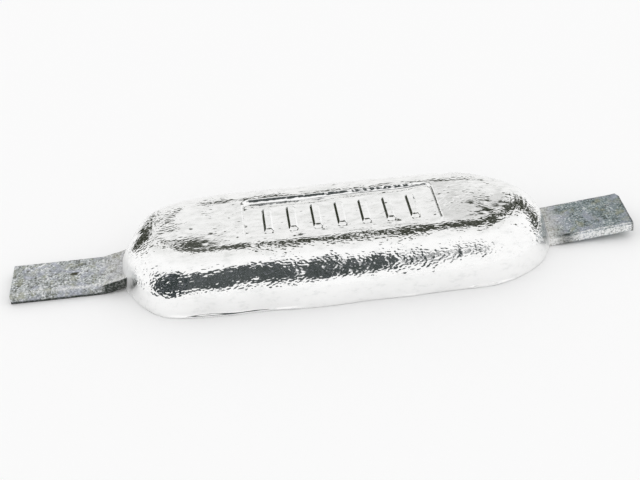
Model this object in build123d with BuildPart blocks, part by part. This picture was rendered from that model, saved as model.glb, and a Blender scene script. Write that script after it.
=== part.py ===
from build123d import *
import os
from math import radians, tan

# Weld-on hull anode: a zinc loaf cast around one galvanised flat bar, whose two ends stand
# out as welding tabs.  Origin: centre of the loaf's flat base.  +X runs along the bar and
# +Z points away from the hull plate.  Millimetres and degrees.

# ---- zinc loaf ----
body_length = 205.0
body_width = 80.0
body_height = 25.0
draft_angle = 7.0  # every mould wall leans in by this much
top_edge_radius = 20.0  # the big soft shoulder all round the top
base_edge_radius = 1.0  # meniscus where the melt met the mould wall

# ---- sunk panel in the loaf's flat top ----
panel_length = 92.0
panel_rim = 1.8  # flat land left between the panel and the shoulder
panel_depth = 1.6
panel_shift = 3.0  # the panel lies this far towards +X
panel_corner_radius = 4.0
panel_edge_radius = 0.7  # softened rim of the panel
panel_draft = 30.0

# ---- plain raised bars on the panel's floor ----
rib_count = 7
rib_pitch = 11.5
rib_width = 4.6
rib_height = 1.0
rib_end_gap = 6.5  # from a bar's end to the panel's long wall
rib_draft = 20.0

# ---- galvanised flat bar ----
strap_width = 25.0
strap_thickness = 5.0
strap_edge_radius = 0.6  # rolled long edges
strap_overhang = 46.0  # bar beyond each end of the loaf, before the bar's shift
strap_shift = -6.0  # the bar sits this far off centre in the mould
tab_length = 43.5  # straight welding tab, from the sheared end to the first bend
crank_height = 5.0  # lift of the bar between its tab and the zinc
crank_slope = 20.0
crank_bend_radius = 7.5  # at the bar's middle
right_tab_tilt = 5.6  # the right tab is bent up, away from the hull plate
right_tab_root = 0.9  # from the loaf's end to that bend
clip_along = 1.7  # corner lost to the shear at the right tab's far side, along the bar
clip_across = 3.8

os.makedirs("parts", exist_ok=True)

# The panel fills the flat land that draft and shoulder leave on top of the loaf
wall_angle = 90 - draft_angle
draft_inset = body_height * tan(radians(draft_angle))
shoulder_inset = top_edge_radius * tan(radians(wall_angle / 2))
panel_width = body_width - 2 * (draft_inset + shoulder_inset + panel_rim)
panel_floor = body_height - panel_depth
rib_length = panel_width - 2 * rib_end_gap

# Corners of the bar's middle line in the XZ plane, from the left end to the right one
left_end = strap_shift - body_length / 2 - strap_overhang
right_end = strap_shift + body_length / 2 + strap_overhang
tab_middle = strap_thickness / 2
core_middle = tab_middle + crank_height
left_bend = left_end + tab_length
right_bend = right_end - tab_length
crank_run = crank_height / tan(radians(crank_slope))
tilt_start = body_length / 2 + right_tab_root
right_tip = tab_middle + (right_end - tilt_start) * tan(radians(right_tab_tilt))
bar_corners = [
    (left_end, tab_middle),
    (left_bend, tab_middle),
    (left_bend + crank_run, core_middle),
    (right_bend - crank_run, core_middle),
    (right_bend, tab_middle),
    (tilt_start, tab_middle),
    (right_end, right_tip),
]

# One length of flat bar, cranked twice near each tab so that zinc can flow under it
with BuildPart() as strap_insert:
    with BuildLine(Plane.XZ) as bar_line:
        FilletPolyline(*bar_corners, radius=crank_bend_radius)
    with BuildSketch(Plane((left_end, 0, tab_middle), x_dir=(0, 1, 0), z_dir=(1, 0, 0))):
        RectangleRounded(strap_width, strap_thickness, strap_edge_radius)
    sweep(path=bar_line.wire())
    # the shear took the far corner off the right tab
    with BuildSketch(Plane((right_end, strap_width / 2, right_tip))):
        Polygon(
            (-2 * clip_along, clip_across),
            (clip_along, -2 * clip_across),
            (clip_along, clip_across),
            align=None,
        )
    extrude(amount=strap_thickness, both=True, mode=Mode.SUBTRACT)
strap_insert.part.label = "strap_insert"

# The zinc, poured base up into an open mould around the bar
with BuildPart() as anode_casting:
    with BuildSketch():
        SlotOverall(body_length, body_width)
    extrude(amount=body_height, taper=draft_angle)
    fillet(anode_casting.faces().sort_by(Axis.Z)[-1].edges(), top_edge_radius)
    fillet(anode_casting.faces().sort_by(Axis.Z)[0].edges(), base_edge_radius)

    # sunk panel, with leaning walls and a soft rim
    with BuildSketch(Plane((panel_shift, 0, body_height))):
        RectangleRounded(panel_length, panel_width, panel_corner_radius)
    extrude(amount=-panel_depth, taper=panel_draft, mode=Mode.SUBTRACT)
    top_land = anode_casting.faces().filter_by(Plane.XY).sort_by(Axis.Z)[-1]
    fillet(top_land.inner_wires().edges(), panel_edge_radius)

    # plain bars standing on the panel's floor
    with BuildSketch(Plane((panel_shift, 0, panel_floor))):
        with GridLocations(rib_pitch, 0, rib_count, 1):
            SlotOverall(rib_length, rib_width, rotation=90)
    extrude(amount=rib_height, taper=rib_draft)

    # the bar's own bed through the zinc
    add(strap_insert.part, mode=Mode.SUBTRACT)
anode_casting.part.label = "anode_casting"

export_step(strap_insert.part, "parts/strap_insert.step")
export_step(anode_casting.part, "parts/anode_casting.step")
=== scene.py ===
"""Looks of a weld-on hull anode: a bright zinc casting on a galvanised steel bar. Metres."""

import math

import bmesh
import bpy
import numpy as np
from mathutils import Matrix, Vector, noise
from mathutils.geometry import delaunay_2d_cdt


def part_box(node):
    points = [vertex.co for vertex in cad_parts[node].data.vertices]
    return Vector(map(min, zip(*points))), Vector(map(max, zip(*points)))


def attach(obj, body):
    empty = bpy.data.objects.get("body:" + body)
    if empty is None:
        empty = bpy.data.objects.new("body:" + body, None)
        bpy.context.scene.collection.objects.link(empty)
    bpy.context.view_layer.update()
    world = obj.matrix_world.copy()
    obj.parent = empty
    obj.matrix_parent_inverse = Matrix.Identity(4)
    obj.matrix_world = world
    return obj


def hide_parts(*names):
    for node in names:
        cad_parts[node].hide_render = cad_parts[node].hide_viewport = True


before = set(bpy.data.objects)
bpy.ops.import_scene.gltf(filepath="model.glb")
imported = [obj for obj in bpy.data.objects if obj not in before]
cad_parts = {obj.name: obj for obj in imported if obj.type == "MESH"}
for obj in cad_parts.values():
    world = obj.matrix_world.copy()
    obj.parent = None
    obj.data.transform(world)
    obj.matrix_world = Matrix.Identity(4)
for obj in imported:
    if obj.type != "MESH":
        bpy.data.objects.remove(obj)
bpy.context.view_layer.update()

MM = 0.001
LOW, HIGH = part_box("anode_casting")
BAR_LOW, BAR_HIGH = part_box("strap_insert")

# ---- the zinc loaf ----
HALF_LENGTH = -LOW.x
HALF_WIDTH = HIGH.y
HEIGHT = HIGH.z
DRAFT = math.radians(7)
SHOULDER = 20 * MM  # radius of the soft top edge
LIP = 1 * MM  # radius where the wall meets the flat base

# ---- the sunk panel and its plain raised bars ----
PANEL_X = 3 * MM
PANEL_HALF = (46 * MM, 17.4 * MM)
PANEL_CORNER = 4 * MM
PANEL_DEPTH = 1.6 * MM
PANEL_RUN_UP = 0.5  # share of its depth that the floor loses towards the +X end
FAR_RIM_SHARE = 0.6  # share of the depth that the far rim's ragged slope takes
FAR_WALL_SLOPE = 2.6  # drop over run of the wall below it
RIB_COUNT = 7
RIB_PITCH = 11.5 * MM
RIB_HALF = (2.3 * MM, 10.9 * MM)
RIB_HEIGHT = 0.85 * MM
RIB_RAMP = 1.05 * MM  # width of a bar's sloping side
RIB_RUN_OUT = 2.6 * MM  # the near end slopes more gently

# ---- the steel bar ----
BAR_HALF_WIDTH = BAR_HIGH.y
BAR_THICK = 5 * MM
BAR_MIDDLE_X = -6 * MM
LEFT_BEND_X = -111 * MM  # the bar starts to rise here on its way into the zinc
RIGHT_BEND_X = 103.4 * MM  # and from here the right tab tilts up
TAB_RISE = math.radians(5.6)
TAB_LEAN = math.radians(3.6)  # lean of the right tab about its near edge
CORNER_CURL = 0.35 * MM
CRANK_SAG = 0.9 * MM  # the left crank is a little shallower than drawn
PIT_DEPTH = 0.35 * MM
# pits in the left tab's upper face: middle (x, y) and reach, in millimetres
BAR_PITS = [
    (-125.4, 0.4, 1.25),
    (-124.0, 0.9, 0.7),
    (-147.7, 7.0, 0.7),
    (-137.1, 5.0, 0.6),
    (-143.3, 0.3, 0.7),
    (-136.3, 0.6, 0.55),
    (-119.3, 1.6, 0.6),
    (-151.2, -4.8, 0.6),
    (-146.0, 9.0, 0.5),
]

# ---- marks the mould and the pour left on the zinc ----
DIMPLE_COUNT = 70
DIMPLE_DEPTH = 0.10 * MM
CREASE_DEPTH = 0.035 * MM
COLLAR = 0.4 * MM  # how far the zinc crept out round the bar
# The lists below are in millimetres.
# skin waves: height everywhere, more on the shoulder, size, seed
SKIN_WAVES = [
    (0.36, 0, 42, 1),
    (0.04, 0.11, 13, 2),
    (0.010, 0.070, 5.2, 3),
    (0.002, 0.045, 2.6, 5),
]
# folds: middle, direction across the ridges, spacing, reach, height
FOLDS = [
    ((-49.5, -36, 15.5), (-0.74, 0.2, 0.64), 2.1, 5.5, 0.11),
    ((-60, -31, 20.5), (-0.3, 0.6, 0.74), 2.4, 5.0, 0.08),
    ((-88, -29, 13), (0.66, 0.55, 0.5), 1.9, 7.0, 0.09),
    ((47, -35, 17), (-0.42, 0.45, 0.78), 1.9, 6.5, 0.10),
    ((87, -4, 23), (0.74, -0.1, -0.66), 2.0, 6.0, 0.14),
    ((89, -14, 21), (0.68, -0.42, -0.6), 1.9, 8.0, 0.20),
    ((96, 10, 15), (0.6, 0.2, -0.77), 2.3, 8.0, 0.10),
    ((-93, 6, 19), (-0.5, 0.3, 0.8), 2.2, 7.0, 0.12),
    ((20, 36, 15), (0.3, 0.5, 0.8), 2.8, 9.0, 0.10),
    ((-60, 35, 16), (-0.3, 0.5, 0.8), 2.4, 8.0, 0.10),
]
# lumps and hollows: middle, reach, height
LUMPS = [
    # round the base
    ((-86, -33, 1), 9, 1.4),
    ((-63, -40, 1), 8, -1.7),
    ((-40, -40, 1), 10, -0.9),
    ((-8, -40, 2), 14, 1.0),
    ((64, -40, 8), 16, -1.2),
    ((97, -24, 3), 9, 1.0),
    # beside the bar
    ((-99, -17, 7), 6, -0.5),
    ((99, -14, 5), 5, 1.4),
    ((99, 13, 8), 6, -0.8),
    # along the far shoulder
    ((-86, 22, 20), 10, 0.9),
    ((-97, 10, 14), 8, -0.7),
    ((-48, 34, 17), 13, 0.75),
    ((-24, 34, 17), 13, 0.7),
    ((0, 34, 17), 13, 0.7),
    ((24, 34, 17), 13, 0.7),
    ((46, 34, 17), 12, 0.6),
    ((82, 24, 19), 18, -1.6),
    # on the top
    ((-76, -26, 22), 14, -1.1),
    ((-60, -28, 22), 12, -0.6),
    ((-85, 2, 25), 8, -0.3),
    ((83, -25, 21), 15, -1.3),
    ((72, -25, 25), 9, -0.22),
    ((30, -24, 24), 7, -0.3),
    ((-5, -25, 24), 8, 0.3),
    ((12, -22, 25), 5, -0.2),
    ((50, -22, 24), 6, 0.25),
]
# flash: middle on the base's rim, reach along it, how far it stands out
FLASH = [
    ((-53, -40), 9.0, 1.0),
    ((-78, -36), 7.0, 1.0),
    ((-66, -40), 4.0, 0.7),
    ((-20, -40), 14.0, 0.8),
    ((25, -40), 12.0, 0.5),
    ((60, 40), 10.0, 1.2),
    ((-30, 40), 8.0, 1.0),
    ((88, 28), 6.0, 0.9),
]

# ---- mesh density ----
SKIN_STEP = 0.66 * MM
BASE_STEP = 1.3 * MM
RELIEF_STEP = 0.5 * MM
BAR_STEP = 0.9 * MM
PANEL_INSETS = (-0.9, -0.68, -0.46, -0.24, 0.0, 0.2, 0.36, 0.52, 0.68, 0.8, 0.95)
RIB_INSETS = (-0.15, 0, 0.15, 0.5, 0.9, 1.05, 1.25)

SEED = 11


# ------------------------------------------------------------------ small helpers
def smooth(value, low, high):
    """0 below low, 1 above high, and a soft S between them."""
    t = np.clip((value - low) / (high - low), 0, 1)
    return t * t * (3 - 2 * t)


def waves(points, size, seed=0, octaves=1):
    """Soft noise of about -1 to 1 whose bumps are about size across."""
    places = points / size + 17.3 * seed
    if octaves == 1:
        return np.array([noise.noise(Vector(p)) for p in places])
    return np.array([noise.fractal(Vector(p), 1.0, 2.0, octaves) for p in places])


def rounded_distance(x, y, half, corner):
    """Distance inside a rounded rectangle, negative outside."""
    qx = np.abs(x) - (half[0] - corner)
    qy = np.abs(y) - (half[1] - corner)
    outside = np.hypot(np.maximum(qx, 0), np.maximum(qy, 0))
    return corner - outside - np.minimum(np.maximum(qx, qy), 0)


def rounded_loop(half, corner, inset, step):
    """Evenly spaced points on a rounded rectangle that is drawn in by inset."""
    a, b = half[0] - inset, half[1] - inset
    r = max(corner - inset, 0.3 * MM)
    points = []
    for sx, sy, start in ((1, 1, 0), (-1, 1, 90), (-1, -1, 180), (1, -1, 270)):
        for turn in np.linspace(0, 90, max(3, int(r * math.pi / 2 / step) + 2)):
            angle = math.radians(start + turn)
            points.append((sx * (a - r) + r * math.cos(angle), sy * (b - r) + r * math.sin(angle)))
    loop = []
    for i, p in enumerate(points):
        q = points[(i + 1) % len(points)]
        pieces = max(1, int(math.dist(p, q) / step + 0.5))
        for k in range(pieces):
            loop.append((p[0] + (q[0] - p[0]) * k / pieces, p[1] + (q[1] - p[1]) * k / pieces))
    return np.array(loop)


# ------------------------------------------------------------------ zinc casting
STRAIGHT = HALF_LENGTH - HALF_WIDTH


def outline_directions():
    """Anchors and outward directions round the loaf, counter-clockwise from the near left."""
    n_side = int(2 * STRAIGHT / SKIN_STEP)
    n_end = int(math.pi * HALF_WIDTH / SKIN_STEP)
    along = np.linspace(-STRAIGHT, STRAIGHT, n_side, endpoint=False)
    turn = np.linspace(0, math.pi, n_end, endpoint=False)
    zero, one = np.zeros(n_side), np.ones(n_side)
    flat_end = np.zeros(n_end)
    anchors = np.concatenate([
        np.c_[along, zero],
        np.c_[flat_end + STRAIGHT, flat_end],
        np.c_[-along, zero],
        np.c_[flat_end - STRAIGHT, flat_end],
    ])
    directions = np.concatenate([
        np.c_[zero, -one],
        np.c_[np.sin(turn), -np.cos(turn)],
        np.c_[zero, one],
        np.c_[-np.sin(turn), np.cos(turn)],
    ])
    return anchors, directions


def wall_profile():
    """(inset, height) of each ring, from the base up the drafted wall and over the shoulder."""
    arc_height = HEIGHT - SHOULDER
    tangent = arc_height + SHOULDER * math.sin(DRAFT)
    arc_inset = (tangent - LIP) * math.tan(DRAFT) + SHOULDER * math.cos(DRAFT)
    rows = []
    for angle in np.linspace(math.pi / 2, 0, 4):
        rows.append((LIP - LIP * math.cos(angle), LIP - LIP * math.sin(angle)))
    for height in np.linspace(LIP, tangent, int((tangent - LIP) / SKIN_STEP) + 1)[1:]:
        rows.append(((height - LIP) * math.tan(DRAFT), height))
    n_arc = int(SHOULDER * (math.pi / 2 - DRAFT) / SKIN_STEP)
    for angle in np.linspace(DRAFT, math.pi / 2, n_arc)[1:]:
        across, up = SHOULDER * math.cos(angle), SHOULDER * math.sin(angle)
        rows.append((arc_inset - across, arc_height + up))
    return np.array(rows)


def panel_drop(x, y):
    """How far the sunk panel lies below the flat top."""
    inside = rounded_distance(x - PANEL_X, y, PANEL_HALF, PANEL_CORNER)
    # the floor runs up towards the panel's +X end, and was cut deeper under the far rim
    depth = PANEL_DEPTH * (1 - PANEL_RUN_UP * smooth(x - PANEL_X, 30 * MM, PANEL_HALF[0]))
    deepest = (0.35 + 0.35 * smooth(-x, -4 * MM, 8 * MM)) * MM
    deeper = deepest * smooth(y, 8 * MM, PANEL_HALF[1])
    rim = 0.36 * smooth(inside, -0.6 * MM, 0.2 * MM)
    wall = 0.64 * smooth(inside, 0.1 * MM, 0.55 * MM)

    # the far rim broke away in a ragged slope, most towards +X, over a straight steep wall
    toward_x = smooth(x, -8 * MM, 10 * MM)
    ragged = waves(np.c_[x, y, 0 * x], 2.2 * MM, seed=31, octaves=2)
    start = (0.42 + 0.22 * toward_x + (0.14 + 0.22 * toward_x) * ragged) * MM
    rim_run = (0.64 + 0.24 * toward_x) * MM
    broken_rim = FAR_RIM_SHARE * np.clip((inside + start) / rim_run, 0, 1)
    wall_share = 1 - FAR_RIM_SHARE
    wall_run = (wall_share * depth + deeper) / FAR_WALL_SLOPE
    down_wall = np.clip((inside - 0.22 * MM) / wall_run, 0, 1)

    far_side = smooth(y, 14.4 * MM, 16.4 * MM)
    rim = rim + (broken_rim - rim) * far_side
    wall = wall + (wall_share * down_wall - wall) * far_side
    return depth * (rim + wall) + deeper * down_wall


def top_relief(x, y):
    """Height of the flat top with its sunk panel and raised bars."""
    height = HEIGHT - panel_drop(x, y)
    for rib_x in rib_places():
        inside = rounded_distance(x - rib_x, y, RIB_HALF, RIB_HALF[0])
        rise = np.minimum(inside / RIB_RAMP, (RIB_HALF[1] + y) / RIB_RUN_OUT)
        height = height + RIB_HEIGHT * np.clip(rise, 0, 1)
    return height


def rib_places():
    first = PANEL_X - RIB_PITCH * (RIB_COUNT - 1) / 2
    return [first + RIB_PITCH * i for i in range(RIB_COUNT)]


def relief_points():
    """Points that follow the panel's rim and each raised bar, so their edges stay crisp."""
    loops = []
    for inset in PANEL_INSETS:
        loops.append(rounded_loop(PANEL_HALF, PANEL_CORNER, inset * MM, RELIEF_STEP) + (PANEL_X, 0))
    for rib_x in rib_places():
        for inset in RIB_INSETS:
            loops.append(rounded_loop(RIB_HALF, RIB_HALF[0], inset * MM, RELIEF_STEP) + (rib_x, 0))
    return np.concatenate(loops)


def flat_cap(boundary, step, extra, rng):
    """Triangles that fill the boundary loop with evenly spread points and the extra ones."""
    reach_x, reach_y = boundary.max(0)
    row_step = step * 0.866
    columns, rows = np.arange(-reach_x, reach_x, step), np.arange(-reach_y, reach_y, row_step)
    grid_x, grid_y = np.meshgrid(columns, rows)
    grid_x = grid_x + (np.arange(len(grid_x)) % 2)[:, None] * step / 2
    grid = np.c_[grid_x.ravel(), grid_y.ravel()] + rng.normal(0, 0.12 * step, (grid_x.size, 2))
    radius = reach_y - 0.5 * step
    beyond = np.maximum(np.abs(grid[:, 0]) - (reach_x - reach_y), 0)
    grid = grid[np.hypot(beyond, grid[:, 1]) < radius]
    if len(extra):
        gap = np.full(len(grid), 1.0)
        for block in np.array_split(extra, 40):
            offsets = grid[:, None, :] - block[None, :, :]
            gap = np.minimum(gap, np.hypot(offsets[..., 0], offsets[..., 1]).min(1))
        grid = np.concatenate([grid[gap > 0.6 * step], extra])
    points = np.concatenate([boundary, grid]) / MM
    rim = [list(range(len(boundary)))]
    found = delaunay_2d_cdt([Vector(p) for p in points], [], rim, 1, 1e-5, False)
    return np.array([tuple(v) for v in found[0]]) * MM, [tuple(f) for f in found[2]]


def casting_skin(rng):
    """The loaf's whole skin as plain arrays: places and faces."""
    anchors, directions = outline_directions()
    rows = wall_profile()
    count = len(anchors)
    rings = [
        np.c_[anchors + directions * (HALF_WIDTH - inset), np.full(count, height)]
        for inset, height in rows
    ]
    faces = []
    for k in range(len(rows) - 1):
        for i in range(count):
            j = (i + 1) % count
            faces.append((k * count + i, k * count + j, (k + 1) * count + j, (k + 1) * count + i))
    places = np.concatenate(rings)

    top, top_faces = flat_cap(rings[-1][:, :2], SKIN_STEP * 1.05, relief_points(), rng)
    top = np.c_[top, top_relief(top[:, 0], top[:, 1])]
    faces += [tuple(len(places) + i for i in f) for f in top_faces]
    places = np.concatenate([places, top])

    base, base_faces = flat_cap(rings[0][:, :2], BASE_STEP, [], rng)
    base = np.c_[base, np.zeros(len(base))]
    faces += [tuple(len(places) + i for i in reversed(f)) for f in base_faces]
    return np.concatenate([places, base]), faces


def new_mesh_object(name, places, faces):
    """A closed mesh object whose faces look outwards."""
    mesh = bpy.data.meshes.new(name)
    mesh.from_pydata(places.tolist(), [], faces)
    body = bmesh.new()
    body.from_mesh(mesh)
    bmesh.ops.remove_doubles(body, verts=body.verts, dist=0.01 * MM)
    bmesh.ops.recalc_face_normals(body, faces=body.faces)
    body.to_mesh(mesh)
    body.free()
    obj = bpy.data.objects.new(name, mesh)
    bpy.context.scene.collection.objects.link(obj)
    return obj


def read_skin(obj):
    """Every point's place and normal, one row each."""
    count = len(obj.data.vertices)
    places, normals = np.empty(count * 3), np.empty(count * 3)
    obj.data.vertices.foreach_get("co", places)
    obj.data.vertices.foreach_get("normal", normals)
    return places.reshape(-1, 3), normals.reshape(-1, 3)


def write_skin(obj, places):
    obj.data.vertices.foreach_set("co", places.ravel())
    obj.data.update()


def paint(obj, name, values):
    """Keeps one number per point for the material to read."""
    layer = obj.data.attributes.new(name, "FLOAT", "POINT")
    layer.data.foreach_set("value", values.astype(np.float32))


def shoulder_share(places, normals):
    """1 on the curved shoulder, 0 inside the flat top and on the walls."""
    beyond = np.clip(places[:, 0], -STRAIGHT, STRAIGHT)
    radius = np.hypot(places[:, 0] - beyond, places[:, 1])
    flat_radius = HALF_WIDTH - wall_profile()[-1, 0]
    outer = smooth(radius, flat_radius - 3 * MM, flat_radius + 2 * MM)
    return outer * smooth(normals[:, 2], 0.12, 0.35)


def folds_at(places):
    """Short runs of ridges where the skin wrinkled as it froze."""
    height = np.zeros(len(places))
    sway = 0.3 * waves(places, 6 * MM, seed=9)
    for middle, across, spacing, reach, rise in FOLDS:
        away = places - np.array(middle) * MM
        phase = away @ np.array(across) / (spacing * MM) + sway
        fade = np.exp(-((np.linalg.norm(away, axis=1) / (reach * MM)) ** 2))
        height += rise * MM * fade * np.cos(2 * math.pi * phase)
    return height


def lumps_at(places):
    """Lumps and hollows of the mould and of the cooling melt."""
    height = np.zeros(len(places))
    for middle, reach, rise in LUMPS:
        away = np.linalg.norm(places - np.array(middle) * MM, axis=1) / (reach * MM)
        height += rise * MM * np.exp(-(away**2))
    return height


def flash_at(x, y):
    """How far the larger tongues of flash stand out from the base's rim."""
    stand = np.zeros(len(x))
    for middle, reach, out in FLASH:
        away = np.hypot(x - middle[0] * MM, y - middle[1] * MM) / (reach * MM)
        stand = np.maximum(stand, out * MM * np.exp(-(away**2)))
    return stand


def clear_of_bar(places):
    """Distance from the bar over the loaf's two ends, and far more between them."""
    x, y, z = places.T
    beside = np.maximum(np.abs(y) - BAR_HALF_WIDTH, 0)
    bar_top = np.where(x < 0, 2 * BAR_THICK, BAR_THICK)  # the bar leaves the left end higher
    above = np.maximum(z - bar_top, 0)
    return np.hypot(beside, above) + 1.0 * (np.abs(x) < 80 * MM)


def collar_at(places):
    """Zinc that crept a little way along the bar where the bar leaves the loaf."""
    return COLLAR * np.exp(-((clear_of_bar(places) / (1.4 * MM)) ** 2))


def dimples_at(places, above_base, rng):
    """Shallow round dimples left by gas, 1 in their middles and 0 outside them."""
    dimples = np.zeros(len(places))
    for centre in rng.choice(np.flatnonzero(above_base), DIMPLE_COUNT, replace=False):
        reach = rng.uniform(0.5, 1.5) * MM
        near = np.linalg.norm(places - places[centre], axis=1) / reach
        dimples = np.maximum(dimples, np.exp(-near * near))
    return dimples


def creases_at(places):
    """Hairline creases that wander over some parts of the skin, 1 in their middles."""
    crease = np.abs(waves(places, 9 * MM, seed=6, octaves=2))
    zone = smooth(waves(places, 24 * MM, seed=7), 0.05, 0.3)
    return zone * (1 - smooth(crease, 0.0, 0.05))


def cast_surface(obj, rng):
    """Moves the smooth loaf's points the way a rough mould and cooling zinc leave them."""
    places, normals = read_skin(obj)
    x, y, z = places.T
    on_base = normals[:, 2] < -0.6
    shoulder = shoulder_share(places, normals)
    lift = np.zeros(len(places))
    for everywhere, on_shoulder, size, seed in SKIN_WAVES:
        lift += (everywhere + on_shoulder * shoulder) * MM * waves(places, size * MM, seed=seed)
    lift += (folds_at(places) + lumps_at(places)) * ~on_base
    lift -= CREASE_DEPTH * creases_at(places)
    lift -= DIMPLE_DEPTH * dimples_at(places, ~on_base & (z > 2 * MM), rng)
    moved = places + normals * lift[:, None]
    moved[:, 2] = np.where(on_base, np.abs(lift) * 0.8, moved[:, 2])

    # ragged flash where the melt stood against the open mould's rim
    rim = np.exp(-((z / (0.8 * MM)) ** 2)) * ~on_base
    away = np.c_[normals[:, :2], np.zeros(len(places))]
    ragged = 0.15 * MM + 0.35 * MM * waves(np.c_[x, y, 0 * z], 9 * MM, seed=8, octaves=3)
    stand = np.maximum(ragged, 0) + flash_at(x, y)
    moved += away * (rim * stand + collar_at(places) * ~on_base)[:, None]
    moved[:, 2] = np.maximum(moved[:, 2], 0)
    write_skin(obj, moved)
    paint_zinc(obj, places, normals, shoulder)


def paint_zinc(obj, places, normals, shoulder):
    """Keeps where the zinc is grained, where it is the flat top that the material paints greyer as
    painted shade, and where it froze dull.
    """
    # grain is strong on the shoulder, weaker on the top's two ends and faint elsewhere
    patchy = smooth(waves(places, 16 * MM, seed=10, octaves=2), -0.3, 0.4)
    top = smooth(normals[:, 2], 0.85, 0.97)
    ends = smooth(np.abs(places[:, 0]), 50 * MM, 75 * MM)
    grain = 0.06 + (0.07 + 0.43 * ends) * top * patchy + (0.35 + 0.65 * patchy) * shoulder
    paint(obj, "grain", np.clip(grain, 0, 1))
    # the flat top, which the material paints greyer as painted shade
    paint(obj, "top", top)
    # the cold bar chilled the zinc beside it
    ragged = 2 * MM * waves(places, 5 * MM, seed=12, octaves=2)
    paint(obj, "chilled", 1 - smooth(clear_of_bar(places) + ragged, 1 * MM, 10 * MM))


def build_casting():
    rng = np.random.default_rng(SEED)
    places, faces = casting_skin(rng)
    obj = new_mesh_object("zinc_loaf", places, faces)
    cast_surface(obj, rng)
    obj.data.shade_smooth()
    return obj


# ------------------------------------------------------------------ steel bar
def slice_mesh(body, axis, stations):
    """Cuts new edges across the mesh at each station along one axis."""
    for station in stations:
        normal = Vector((0, 0, 0))
        normal[axis] = 1
        spot = Vector((0, 0, 0))
        spot[axis] = station
        geometry = body.verts[:] + body.edges[:] + body.faces[:]
        bmesh.ops.bisect_plane(body, geom=geometry, dist=1e-7, plane_co=spot, plane_no=normal)


def build_bar():
    """The bar's CAD form, cut finer where it stands out of the zinc."""
    body = bmesh.new()
    body.from_mesh(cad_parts["strap_insert"].data)
    bmesh.ops.remove_doubles(body, verts=body.verts, dist=0.005 * MM)
    same_plane = math.radians(0.5)
    bmesh.ops.dissolve_limit(body, angle_limit=same_plane, verts=body.verts, edges=body.edges)
    inner = 0.93 * HALF_LENGTH
    slice_mesh(body, 0, np.arange(BAR_LOW.x + 0.4 * MM, -inner, BAR_STEP))
    slice_mesh(body, 0, np.arange(inner, BAR_HIGH.x - 0.3 * MM, BAR_STEP))
    slice_mesh(body, 1, np.linspace(-BAR_HALF_WIDTH, BAR_HALF_WIDTH, 34)[1:-1])
    slice_mesh(body, 2, np.arange(0.4 * MM, 11 * MM, 0.7 * MM))
    mesh = bpy.data.meshes.new("steel_bar")
    body.to_mesh(mesh)
    body.free()
    obj = bpy.data.objects.new("steel_bar", mesh)
    bpy.context.scene.collection.objects.link(obj)
    return obj


def twisted(places):
    """Leans the right tab, curls its clipped corner up and lowers the left crank."""
    x, y, _ = places.T
    turn = TAB_LEAN * smooth(x, 92 * MM, 100 * MM)
    across = y + BAR_HALF_WIDTH
    moved = places.copy()
    moved[:, 2] += across * np.sin(turn)
    moved[:, 1] -= across * (1 - np.cos(turn))
    corner = np.hypot(x - BAR_HIGH.x, y - BAR_HALF_WIDTH)
    moved[:, 2] += CORNER_CURL * (1 - smooth(corner, 0, 8 * MM))
    moved[:, 2] -= CRANK_SAG * smooth(x, LEFT_BEND_X, LEFT_BEND_X + 10 * MM) * (x < 0)
    return moved


def painted_shade_and_dark_marks_at(places, normals):
    """Darkening painted on the bar: painted shade on the left tab's lower sides with a painted
    shadow line along its lower edge, dark on its crank, darker along the far edges and at the right
    tip, and a small dark patch near the right root.
    """
    x, y, z = places.T
    sideways = smooth(np.abs(normals[:, 1]), 0.4, 0.7)
    ragged = 0.3 * MM * waves(places, 3 * MM, seed=25)
    # painted shade on the lower part of the left tab's sides
    side = 0.13 * sideways * (x < 0) * (1 - smooth(z, 3.9 * MM, 4.3 * MM))
    # painted shadow along the left tab's lower edge
    painted_shadow_line = (1 - smooth(z + ragged, 1.1 * MM, 1.5 * MM)) * (x < 0) * (normals[:, 2] < 0.5)
    lower = np.maximum(side, painted_shadow_line)
    crank = smooth(x + ragged, LEFT_BEND_X - 2 * MM, LEFT_BEND_X + 1 * MM) * (x < 0) * sideways
    far_rim = 0.8 * smooth(y + ragged, BAR_HALF_WIDTH - 0.8 * MM, BAR_HALF_WIDTH - 0.3 * MM)
    tip = 0.8 * smooth(x + ragged, BAR_HIGH.x - 1.2 * MM, BAR_HIGH.x - 0.5 * MM)
    patch = np.exp(-(((x - 110 * MM) / (4 * MM)) ** 2) - ((y + 12 * MM) / (0.9 * MM)) ** 2)
    return np.clip(np.maximum(lower, crank) + np.maximum(far_rim, tip) + patch, 0, 1)


def painted_highlight_and_wear_at(places, normals):
    """Painted highlights, with some rubbed wear, along both tabs' near upper edge, and painted
    light on the right tab's near side.
    """
    x, y, z = places.T
    ragged = 0.6 * MM * waves(places, 2 * MM, seed=26)
    upward = smooth(normals[:, 2], 0.3, 0.7)
    # painted highlights, with some rubbed wear, along the near upper edges
    beside = np.exp(-(((-y + ragged - 11.2 * MM) / (1.3 * MM)) ** 2)) * upward
    highlight_and_wear_share = smooth(-y + ragged, 11.6 * MM, 12.1 * MM) * upward * (x > 112 * MM)
    local_z = z - np.maximum(x - RIGHT_BEND_X, 0) * math.tan(TAB_RISE)
    below_rim = 1 - smooth(local_z + 0.5 * ragged, 4.1 * MM, 4.5 * MM)
    # painted light: the right tab's near side is painted bright
    painted_light_near_side = smooth(-normals[:, 1], 0.3, 0.6) * smooth(local_z, 0.3 * MM, 0.8 * MM) * below_rim
    middle = np.exp(-(((x + 122 * MM) / (13 * MM)) ** 2))
    left = beside * (0.25 + 0.6 * middle)
    return np.where(x > 0, np.maximum(0.9 * painted_light_near_side, 0.9 * highlight_and_wear_share), left)


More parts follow.
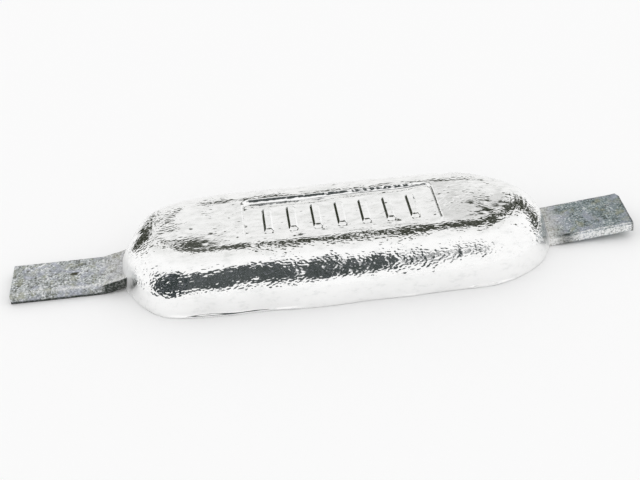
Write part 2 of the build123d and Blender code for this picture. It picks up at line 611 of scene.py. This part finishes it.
def bar_surface(obj):
    """Roughens the rolled skin, pits it and bends the tabs a little."""
    places, normals = read_skin(obj)
    x, y, z = places.T
    outer = smooth(np.abs(x - BAR_MIDDLE_X), 94 * MM, 99 * MM)
    lift = 0.08 * MM * waves(places, 9 * MM, seed=21)
    lift += 0.05 * MM * waves(places, 2.4 * MM, seed=22, octaves=2)
    edge = smooth(np.abs(y), BAR_HALF_WIDTH - 1.2 * MM, BAR_HALF_WIDTH)
    lift += 0.10 * MM * edge * waves(places, 1.8 * MM, seed=23)
    hollow = np.zeros(len(places))
    ragged = 1 + 0.45 * waves(places, 1.3 * MM, seed=24)
    for px, py, reach in BAR_PITS:
        near = np.hypot((x - px * MM) / 1.5, y - py * MM) / (reach * MM * ragged)
        hollow = np.maximum(hollow, np.exp(-(near**4)) * (normals[:, 2] > 0.5))
    lift -= PIT_DEPTH * hollow
    moved = twisted(places + normals * (lift * outer)[:, None])
    moved[:, 2] = np.maximum(moved[:, 2], 0)
    write_skin(obj, moved)
    obj.data.shade_smooth()
    obj.data.set_sharp_from_angle(angle=math.radians(38))
    paint(obj, "pit", hollow)
    # painted shade and dark marks on the bar, for the material
    paint(obj, "painted_shade_and_dark_marks", painted_shade_and_dark_marks_at(places, normals))
    # painted highlights and painted light, with some wear, for the material
    paint(obj, "painted_highlight_and_wear", painted_highlight_and_wear_at(places, normals))


# ------------------------------------------------------------------ node helpers
def math_node(tree, operation, *values):
    """A Math node whose inputs are numbers or other nodes' outputs."""
    node = tree.nodes.new("ShaderNodeMath")
    node.operation = operation
    for socket, value in zip(node.inputs, values):
        if isinstance(value, (int, float)):
            socket.default_value = value
        else:
            tree.links.new(value, socket)
    return node.outputs["Value"]


def product(tree, a, b):
    return math_node(tree, "MULTIPLY", a, b)


def noise_node(tree, coords, scale, detail=3.0, roughness=0.55, distortion=0.0):
    node = tree.nodes.new("ShaderNodeTexNoise")
    node.inputs["Scale"].default_value = scale
    node.inputs["Detail"].default_value = detail
    node.inputs["Roughness"].default_value = roughness
    node.inputs["Distortion"].default_value = distortion
    tree.links.new(coords, node.inputs["Vector"])
    return node.outputs["Fac"]


def ramp(tree, fac, stops):
    node = tree.nodes.new("ShaderNodeValToRGB")
    elements = node.color_ramp.elements
    while len(elements) < len(stops):
        elements.new(0.5)
    for element, (place, color) in zip(elements, stops):
        element.position = place
        element.color = (*color, 1)
    tree.links.new(fac, node.inputs["Fac"])
    return node.outputs["Color"]


def mapped(tree, fac, low, high, to_low, to_high):
    """Brings the range low to high to the range to_low to to_high, held at both ends."""
    node = tree.nodes.new("ShaderNodeMapRange")
    values = {"From Min": low, "From Max": high, "To Min": to_low, "To Max": to_high}
    for name, value in values.items():
        node.inputs[name].default_value = value
    tree.links.new(fac, node.inputs["Value"])
    return node.outputs["Result"]


def mixed(tree, fac, a, b):
    """Colour a where fac is 0 and b where it is 1; each is a node's output or three numbers."""
    node = tree.nodes.new("ShaderNodeMix")
    node.data_type = "RGBA"
    tree.links.new(fac, node.inputs["Factor"])
    for socket, value in ((node.inputs["A"], a), (node.inputs["B"], b)):
        if isinstance(value, tuple):
            socket.default_value = (*value, 1)
        else:
            tree.links.new(value, socket)
    return node.outputs["Result"]


def bumped(tree, height, strength, distance, below=None):
    """The normal after one bump, laid over another where there is one below."""
    node = tree.nodes.new("ShaderNodeBump")
    node.inputs["Strength"].default_value = strength
    node.inputs["Distance"].default_value = distance
    tree.links.new(height, node.inputs["Height"])
    if below is not None:
        tree.links.new(below, node.inputs["Normal"])
    return node.outputs["Normal"]


# ------------------------------------------------------------------ materials
def metal(name, metallic):
    """A new metal: the material, its tree, its shader and the object's own coordinates."""
    material = bpy.data.materials.new(name)
    material.use_nodes = True
    tree = material.node_tree
    shader = tree.nodes["Principled BSDF"]
    shader.inputs["Metallic"].default_value = metallic
    coords = tree.nodes.new("ShaderNodeTexCoord").outputs["Object"]
    return material, tree, shader, coords


def attribute_node(tree, name):
    node = tree.nodes.new("ShaderNodeAttribute")
    node.attribute_name = name
    return node.outputs["Fac"]


def stretched(tree, coords, scale):
    """Coordinates that draw a pattern out along the axes whose scale is small."""
    node = tree.nodes.new("ShaderNodeMapping")
    node.inputs["Scale"].default_value = scale
    tree.links.new(coords, node.inputs["Vector"])
    return node.outputs["Vector"]


def pimples(tree, coords):
    """Small round beads of zinc, few enough to be seen one by one."""
    node = tree.nodes.new("ShaderNodeTexVoronoi")
    node.inputs["Scale"].default_value = 430
    tree.links.new(coords, node.inputs["Vector"])
    bead = mapped(tree, node.outputs["Distance"], 0.38, 0.05, 0.0, 1.0)
    chosen = mapped(tree, node.outputs["Color"], 0.52, 0.58, 0.0, 1.0)
    return product(tree, bead, chosen)


def zinc_material():
    """Mirror-bright cast zinc: painted greyer on top and paler on its walls as painted shade and
    light, dull where it froze on the bar, finely grained.
    """
    material, tree, shader, coords = metal("bright_cast_zinc", 1.0)
    cloudy = noise_node(tree, stretched(tree, coords, (0.5, 1, 1)), 330, 6, 0.7)
    # painted light and shade: the walls' tint is paler and the top's tint greyer
    wall_tint_painted_light = ramp(tree, cloudy, [
        (0.36, (0.87, 0.875, 0.87)),
        (0.46, (0.96, 0.96, 0.955)),
        (0.6, (0.975, 0.975, 0.97)),
    ])
    top_tint_painted_shade = ramp(tree, cloudy, [
        (0.36, (0.74, 0.745, 0.73)),
        (0.50, (0.86, 0.86, 0.85)),
        (0.6, (0.91, 0.91, 0.90)),
    ])
    tint_painted_light_and_shade = mixed(tree, attribute_node(tree, "top"), wall_tint_painted_light, top_tint_painted_shade)
    tree.links.new(tint_painted_light_and_shade, shader.inputs["Base Color"])

    polish = mapped(tree, noise_node(tree, coords, 150, 5), 0.35, 0.7, 0.05, 0.11)
    dull = math_node(tree, "MULTIPLY_ADD", attribute_node(tree, "chilled"), 0.45, polish)
    tree.links.new(dull, shader.inputs["Roughness"])

    drawn = stretched(tree, coords, (0.62, 1, 1))
    pebble = noise_node(tree, drawn, 480, 2, 0.5, 0.3)
    speck = noise_node(tree, drawn, 1150, 0, 0.5)
    skin = math_node(tree, "MULTIPLY_ADD", pebble, 1.25, speck)
    skin = math_node(tree, "MULTIPLY_ADD", pimples(tree, drawn), 1.05, skin)
    skin = product(tree, skin, attribute_node(tree, "grain"))
    tree.links.new(bumped(tree, skin, 1.0, 0.19 * MM), shader.inputs["Normal"])
    return material


def bar_material():
    """Weathered galvanised steel, the left tab paler than the right one."""
    material, tree, shader, coords = metal("galvanised_bar", 0.6)
    place = tree.nodes.new("ShaderNodeSeparateXYZ")
    tree.links.new(coords, place.inputs["Vector"])
    along = place.outputs["X"]
    side = mapped(tree, along, -0.02, 0.02, 0.0, 1.0)
    blotch = noise_node(tree, coords, 190, 6, 0.65, 0.6)
    fleck = noise_node(tree, coords, 1050, 2, 0.6)
    flecked = math_node(tree, "MULTIPLY_ADD", fleck, 1.6, -0.85)
    tone = math_node(tree, "MULTIPLY_ADD", blotch, 1.1, flecked)
    left = ramp(tree, tone, [
        (0.25, (0.13, 0.14, 0.12)),
        (0.42, (0.36, 0.38, 0.38)),
        (0.58, (0.52, 0.55, 0.56)),
        (0.8, (0.95, 0.95, 0.95)),
    ])
    right = ramp(tree, tone, [
        (0.22, (0.08, 0.10, 0.09)),
        (0.42, (0.22, 0.27, 0.28)),
        (0.6, (0.30, 0.36, 0.37)),
        (0.85, (0.70, 0.74, 0.74)),
    ])
    skin = mixed(tree, side, left, right)

    # patches of olive and lilac, then bright spangle specks, partly painted glints
    olive = mapped(tree, noise_node(tree, coords, 210, 4, 0.65), 0.52, 0.62, 0.0, 0.65)
    skin = mixed(tree, olive, skin, (0.36, 0.37, 0.26))
    lilac = mapped(tree, noise_node(tree, coords, 110, 3, 0.5, 1.0), 0.48, 0.62, 0.0, 0.6)
    skin = mixed(tree, lilac, skin, (0.46, 0.48, 0.58))
    glitter = mapped(tree, noise_node(tree, coords, 1150, 1, 0.5), 0.61, 0.67, 0.0, 1.0)
    sheen = mapped(tree, noise_node(tree, coords, 75, 2, 0.5), 0.45, 0.60, 0.15, 0.9)
    # painted glints: bright specks mixed in near white
    skin = mixed(tree, product(tree, glitter, sheen), skin, (0.93, 0.95, 0.96))

    # pale roots beside the zinc, strongest on the right tab
    from_middle = math_node(tree, "ABSOLUTE", math_node(tree, "ADD", along, 0.002))
    near_zinc = mapped(tree, from_middle, 0.114, 0.104, 0.0, 0.9)
    root = product(tree, near_zinc, mapped(tree, side, 0.0, 1.0, 0.6, 1.0))
    pale = ramp(tree, tone, [
        (0.2, (0.40, 0.38, 0.34)),
        (0.5, (0.72, 0.71, 0.68)),
        (0.8, (0.92, 0.92, 0.90)),
    ])
    skin = mixed(tree, root, skin, pale)

    # painted highlights with rubbed edges, painted shade with dark marks, and stained pits
    highlight_and_wear_share = mapped(tree, fleck, 0.35, 0.55, 0.3, 1.0)
    painted_highlight_and_wear = product(tree, attribute_node(tree, "painted_highlight_and_wear"), highlight_and_wear_share)
    skin = mixed(tree, painted_highlight_and_wear, skin, (0.93, 0.93, 0.92))
    # painted shade and dark marks, broken up by the flecks, mixed in near black
    scale = mapped(tree, fleck, 0.62, 0.45, 0.8, 1.0)
    painted_shade_and_dark_marks = product(tree, attribute_node(tree, "painted_shade_and_dark_marks"), scale)
    skin = mixed(tree, painted_shade_and_dark_marks, skin, (0.025, 0.032, 0.025))
    stain = mapped(tree, attribute_node(tree, "pit"), 0.3, 0.7, 0.0, 0.95)
    skin = mixed(tree, stain, skin, (0.045, 0.045, 0.02))
    tree.links.new(skin, shader.inputs["Base Color"])

    tree.links.new(mapped(tree, blotch, 0.3, 0.7, 0.5, 0.35), shader.inputs["Roughness"])
    rough = bumped(tree, fleck, 1.0, 0.2 * MM)
    tree.links.new(bumped(tree, blotch, 0.6, 0.5 * MM, rough), shader.inputs["Normal"])
    return material


def floor_material():
    material = bpy.data.materials.new("white_sweep")
    material.use_nodes = True
    shader = material.node_tree.nodes["Principled BSDF"]
    shader.inputs["Base Color"].default_value = (0.96, 0.96, 0.96, 1)
    shader.inputs["Roughness"].default_value = 0.9
    shader.inputs["Specular IOR Level"].default_value = 0.0
    return material


def dress(obj, material):
    obj.data.materials.clear()
    obj.data.materials.append(material)


# ------------------------------------------------------------------ studio
FLOOR_HALF = 4.0

# Dark gaps in the white studio: degrees round from the camera's side towards the left,
# degrees above the floor, half the width and height in degrees, and how dark the gap is.
DARK_GAPS = [
    (19, 44, 34, 27, 0.965),
    (56, 30, 20, 31, 1.0),
    (66, 6, 11, 20, 1.0),
    (-25, 40, 14, 9, 0.6),
    (147, 16, 18, 12, 1.0),
    (-158, 49, 22, 14, 0.98),
    (-134, 26, 18, 10, 1.0),
    (-116, 8, 11, 12, 0.98),
    (179, 45, 17, 8.5, 0.95),
    (-166, 32, 3.5, 4, 0.2),
]


def gap_reach(tree, x, y, height, gap):
    """Below 1 inside one dark gap and above 1 outside it, with rounded corners."""
    left, up, half_left, half_up, _ = gap
    sine, cosine = math.sin(math.radians(left)), math.cos(math.radians(left))
    ahead = math_node(tree, "MULTIPLY_ADD", y, -cosine, product(tree, x, -sine))
    aside = math_node(tree, "MULTIPLY_ADD", x, -cosine, product(tree, y, sine))
    swing = math_node(tree, "ARCTAN2", aside, ahead)
    swing = math_node(tree, "DIVIDE", swing, math.radians(half_left))
    climb = math_node(tree, "SUBTRACT", height, math.radians(up))
    climb = math_node(tree, "DIVIDE", climb, math.radians(half_up))
    wide = math_node(tree, "POWER", math_node(tree, "ABSOLUTE", swing), 4.0)
    high = math_node(tree, "POWER", math_node(tree, "ABSOLUTE", climb), 4.0)
    return math_node(tree, "ADD", wide, high)


def studio_world():
    """A white tent round the object, with dark gaps that only polished metal shows."""
    world = bpy.data.worlds.new("studio")
    world.use_nodes = True
    tree = world.node_tree
    tree.nodes.clear()
    coords = tree.nodes.new("ShaderNodeTexCoord").outputs["Generated"]
    split = tree.nodes.new("ShaderNodeSeparateXYZ")
    tree.links.new(coords, split.inputs["Vector"])
    x, y, z = split.outputs
    height = math_node(tree, "ARCSINE", z)
    wobble = mapped(tree, noise_node(tree, coords, 3.0, 3), 0.3, 0.7, -0.15, 0.15)
    cover = None
    for gap in DARK_GAPS:
        reach = math_node(tree, "ADD", gap_reach(tree, x, y, height, gap), wobble)
        inside = mapped(tree, reach, 1.15, 0.75, 0.0, gap[-1])
        cover = inside if cover is None else math_node(tree, "MAXIMUM", cover, inside)

    # what shows in the gaps: teal clutter in front of the object and olive behind it
    clutter = noise_node(tree, coords, 12.0, 4, 0.65)
    teal = ramp(tree, clutter, [
        (0.40, (0.011, 0.021, 0.018)),
        (0.53, (0.030, 0.042, 0.042)),
        (0.63, (0.22, 0.225, 0.26)),
    ])
    olive = ramp(tree, clutter, [
        (0.40, (0.014, 0.018, 0.007)),
        (0.53, (0.036, 0.041, 0.024)),
        (0.63, (0.22, 0.22, 0.20)),
    ])
    dark = mixed(tree, mapped(tree, y, 0.0, 0.5, 0.1, 0.9), teal, olive)

    path = tree.nodes.new("ShaderNodeLightPath")
    shown = product(tree, cover, path.outputs["Is Glossy Ray"])
    background = tree.nodes.new("ShaderNodeBackground")
    tree.links.new(mixed(tree, shown, (1.0, 1.0, 1.0), dark), background.inputs["Color"])
    background.inputs["Strength"].default_value = 1.0
    output = tree.nodes.new("ShaderNodeOutputWorld")
    tree.links.new(background.outputs["Background"], output.inputs["Surface"])
    bpy.context.scene.world = world


def add_floor():
    mesh = bpy.data.meshes.new("floor")
    corners = [(-1, -1), (1, -1), (1, 1), (-1, 1)]
    mesh.from_pydata([(FLOOR_HALF * x, FLOOR_HALF * y, 0) for x, y in corners], [], [(0, 1, 2, 3)])
    floor = bpy.data.objects.new("floor", mesh)
    bpy.context.scene.collection.objects.link(floor)
    dress(floor, floor_material())


# ---- camera: aimed by angles, set back along its own view ----
CAMERA_PITCH = math.radians(33.6)  # looking down
CAMERA_YAW = math.radians(4.39)
CAMERA_ROLL = math.radians(-3.66)
CAMERA_DISTANCE = 562.6 * MM
CAMERA_ASIDE = (7.9 * MM, -7.1 * MM)  # the object's place in the camera's own plane
FOCAL_PIXELS = 1162.5
FRAME_PIXELS = 640  # the frame's width
SENSOR = 36.0  # millimetres


def add_camera():
    """The photograph's own camera, fitted to the loaf's outline, the panel and the bar."""
    flat, down = math.cos(CAMERA_PITCH), math.sin(CAMERA_PITCH)
    forward = Vector((math.sin(CAMERA_YAW) * flat, math.cos(CAMERA_YAW) * flat, -down))
    level = Vector((math.cos(CAMERA_YAW), -math.sin(CAMERA_YAW), 0))
    upright = level.cross(forward)
    right = level * math.cos(CAMERA_ROLL) + upright * math.sin(CAMERA_ROLL)
    up = upright * math.cos(CAMERA_ROLL) - level * math.sin(CAMERA_ROLL)
    place = -(right * CAMERA_ASIDE[0] + up * CAMERA_ASIDE[1] + forward * CAMERA_DISTANCE)
    data = bpy.data.cameras.new("camera")
    data.sensor_width = SENSOR
    data.lens = FOCAL_PIXELS / FRAME_PIXELS * SENSOR
    data.clip_start = 0.01
    camera = bpy.data.objects.new("camera", data)
    camera.matrix_world = Matrix((
        (right.x, up.x, -forward.x, place.x),
        (right.y, up.y, -forward.y, place.y),
        (right.z, up.z, -forward.z, place.z),
        (0, 0, 0, 1),
    ))
    bpy.context.scene.collection.objects.link(camera)
    bpy.context.scene.camera = camera


# ------------------------------------------------------------------ put together
bar = build_bar()
bar_surface(bar)
dress(bar, bar_material())
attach(bar, "root")
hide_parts("strap_insert")

casting = build_casting()
dress(casting, zinc_material())
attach(casting, "root")
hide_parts("anode_casting")

studio_world()
add_floor()
add_camera()
bpy.context.scene.view_settings.view_transform = "Standard"
